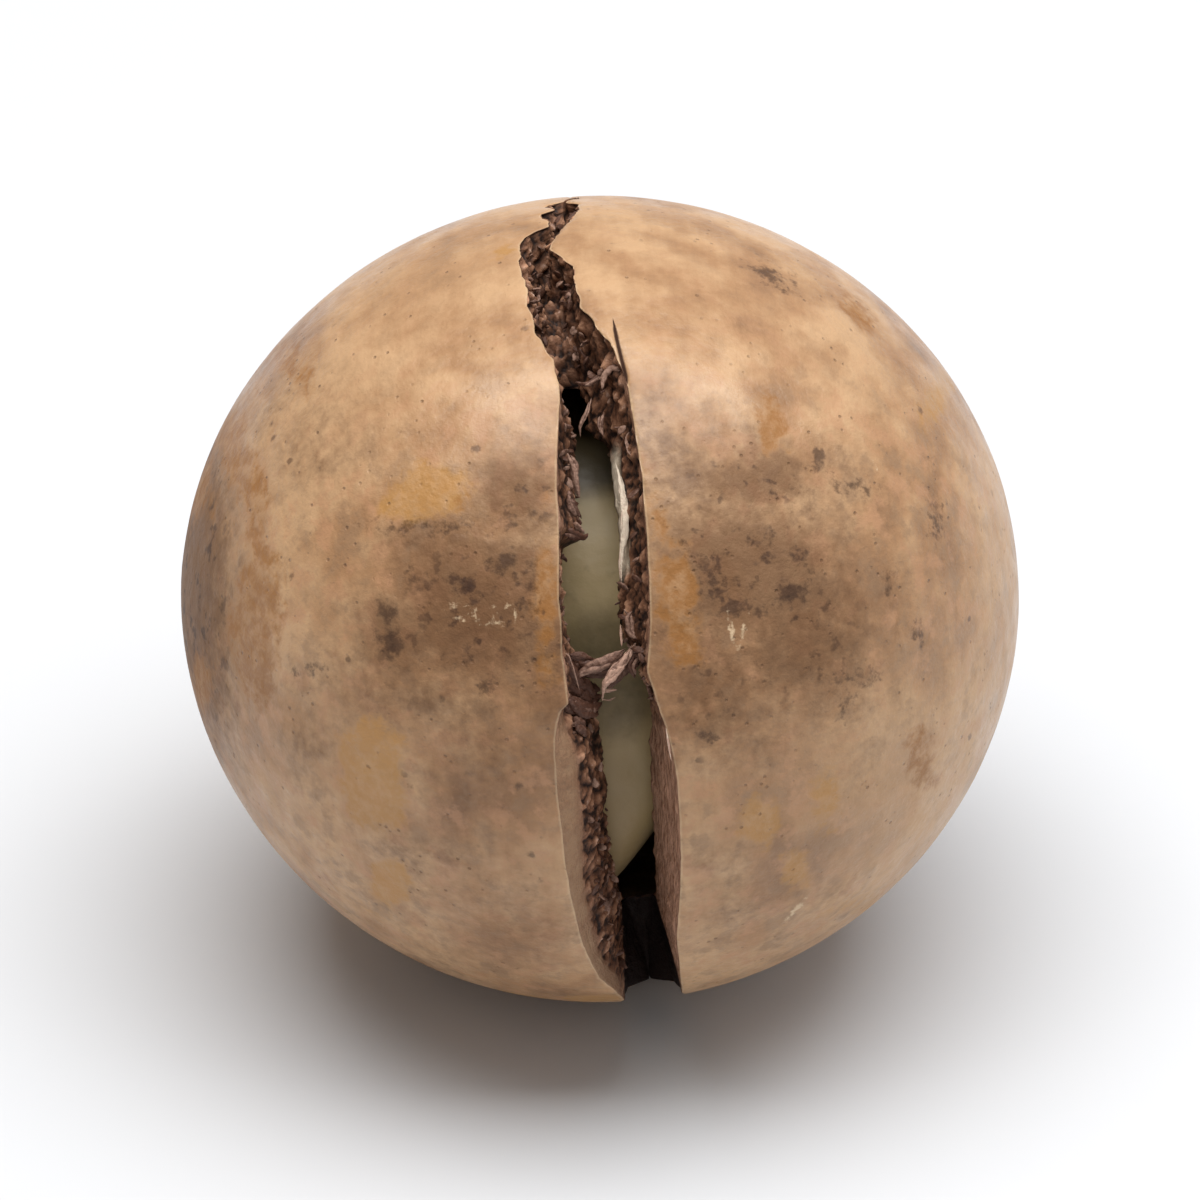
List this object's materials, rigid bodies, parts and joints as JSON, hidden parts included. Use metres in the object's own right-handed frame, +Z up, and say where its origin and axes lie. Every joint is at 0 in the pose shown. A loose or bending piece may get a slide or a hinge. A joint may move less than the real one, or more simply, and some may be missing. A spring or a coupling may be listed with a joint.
{
  "type": "macadamia nut in shell",
  "caption": "Round, hard, woody macadamia shell, sawn and cracked open by one slit, with the pale kernel lying loose inside.",
  "frame": {"origin": "centre of the small flat spot that the nut rests on", "axes": "+Z up; the slit faces -Y and runs over the top, and the hilum is at the back, +Y; X across the slit"},
  "size_m": [0.0266, 0.0255, 0.0253],
  "materials": {
    "shell": "smooth and slightly waxy, mottled",
    "kernel": "smooth, matte, oily"
  },
  "bodies": {
    "root": {"shell": "shell", "kernel": "kernel"}
  },
  "joints": []
}
